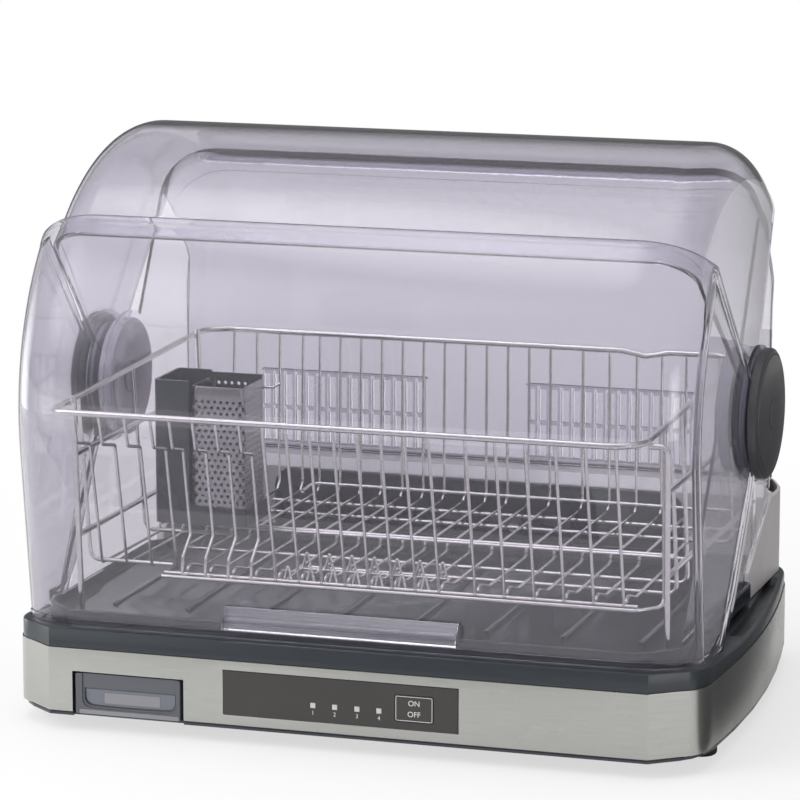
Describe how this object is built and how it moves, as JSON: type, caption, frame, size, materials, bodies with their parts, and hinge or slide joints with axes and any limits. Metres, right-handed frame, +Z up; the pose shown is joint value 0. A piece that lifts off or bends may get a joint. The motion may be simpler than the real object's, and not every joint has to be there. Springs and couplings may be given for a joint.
{
  "type": "electric dish dryer",
  "caption": "Countertop dish dryer: metal-banded base with drip floor and drain drawer, clear nested dome lids on side pivots, wire basket, cutlery holder and warm-air blower.",
  "frame": {"origin": "on the ground, under the middle of the box round the whole dryer; the lid pivot is straight above it", "axes": "+X to the dryer's own width with the control panel facing -Y, +Y to the back, +Z up"},
  "size_m": [0.534, 0.3998, 0.4225],
  "materials": {
    "brushed_band": "brushed",
    "wire_steel": "bright",
    "perforated_steel": "satin",
    "slate_plastic": "matt",
    "trim_plastic": "satin",
    "clear_plastic": "clear, lightly tinted",
    "smoky_plastic": "translucent",
    "cap_plastic": "satin",
    "panel_plastic": "satin",
    "lamp_plastic": "diffusing",
    "grey_plastic": "matt",
    "foot_rubber": "matt",
    "board_laminate": "matt",
    "plated_steel": "plated",
    "black_plastic": "matt",
    "white_plastic": "matt"
  },
  "bodies": {
    "base": {"foot_front_left": "foot_rubber", "foot_front_right": "foot_rubber", "foot_rear_left": "foot_rubber", "foot_rear_right": "foot_rubber", "base_screw_1": "plated_steel", "base_screw_2": "plated_steel", "base_screw_3": "plated_steel", "base_screw_4": "plated_steel", "base_tub": "slate_plastic", "base_band": "brushed_band", "base_trim": "trim_plastic", "floor_tray": "slate_plastic", "control_panel": "panel_plastic", "lamp_lens_1": "lamp_plastic", "lamp_lens_2": "lamp_plastic", "lamp_lens_3": "lamp_plastic", "lamp_lens_4": "lamp_plastic", "control_board": "board_laminate", "button_switch": "black_plastic", "power_board": "board_laminate", "relay": "black_plastic", "rear_housing": "grey_plastic", "housing_gasket": "foot_rubber", "duct_panel": "slate_plastic", "fan_scroll": "black_plastic", "fan_motor": "plated_steel", "heater_duct": "plated_steel", "heater_core": "plated_steel", "thermostat": "black_plastic", "cord_inlet": "black_plastic", "rear_cover": "clear_plastic", "right_inner_disc": "clear_plastic", "left_inner_disc": "clear_plastic", "right_pivot_boss": "trim_plastic", "left_pivot_boss": "trim_plastic", "right_detent_ring": "smoky_plastic", "left_detent_ring": "smoky_plastic", "right_hub_cap": "cap_plastic", "left_hub_cap": "cap_plastic", "right_cap_plug": "cap_plastic", "left_cap_plug": "cap_plastic", "left_basket_stand": "wire_steel", "right_basket_stand": "wire_steel"},
    "front_lid": {"front_lid": "clear_plastic"},
    "top_lid": {"top_lid": "clear_plastic"},
    "drain_tray": {"drain_tray": "smoky_plastic"},
    "power_button": {"power_button": "panel_plastic"},
    "fan_wheel": {"fan_wheel": "white_plastic"},
    "basket": {"basket_floor": "wire_steel", "basket_front": "wire_steel", "basket_back": "wire_steel", "basket_left": "wire_steel", "basket_right": "wire_steel", "plate_prongs": "wire_steel"},
    "cutlery_holder": {"cutlery_holder": "slate_plastic"},
    "cutlery_liner": {"cutlery_liner": "perforated_steel"},
    "air_filter": {"air_filter": "slate_plastic"}
  },
  "joints": [
    {"name": "front_lid_swing", "type": "hinge", "parent": "base", "child": "front_lid", "pos_m": [0, 0, 0.227], "axis": [-1, 0, 0], "range_deg": [0, 105]},
    {"name": "top_lid_swing", "type": "hinge", "parent": "base", "child": "top_lid", "pos_m": [0, 0, 0.227], "axis": [-1, 0, 0], "range_deg": [0, 50]},
    {"name": "drain_tray_slide", "type": "slide", "parent": "base", "child": "drain_tray", "axis": [0, -1, 0], "range_m": [0, 0.1]},
    {"name": "power_button_press", "type": "slide", "parent": "base", "child": "power_button", "axis": [0, 1, 0], "range_m": [0, 0.0008], "stiffness_N_per_m": 500, "springref_m": -0.001},
    {"name": "fan_wheel_spin", "type": "hinge", "parent": "base", "child": "fan_wheel", "pos_m": [0.12, 0.172, 0.105], "axis": [0, 1, 0], "continuous": true},
    {"name": "basket_lift", "type": "slide", "parent": "base", "child": "basket", "axis": [0, 0, 1], "range_m": [0, 0.04]},
    {"name": "cutlery_holder_lift", "type": "slide", "parent": "basket", "child": "cutlery_holder", "axis": [0, 0, 1], "range_m": [0, 0.04]},
    {"name": "cutlery_liner_lift", "type": "slide", "parent": "cutlery_holder", "child": "cutlery_liner", "axis": [0, 0, 1], "range_m": [0, 0.06]},
    {"name": "air_filter_lift", "type": "slide", "parent": "base", "child": "air_filter", "axis": [0, 0, 1], "range_m": [0, 0.05]}
  ]
}
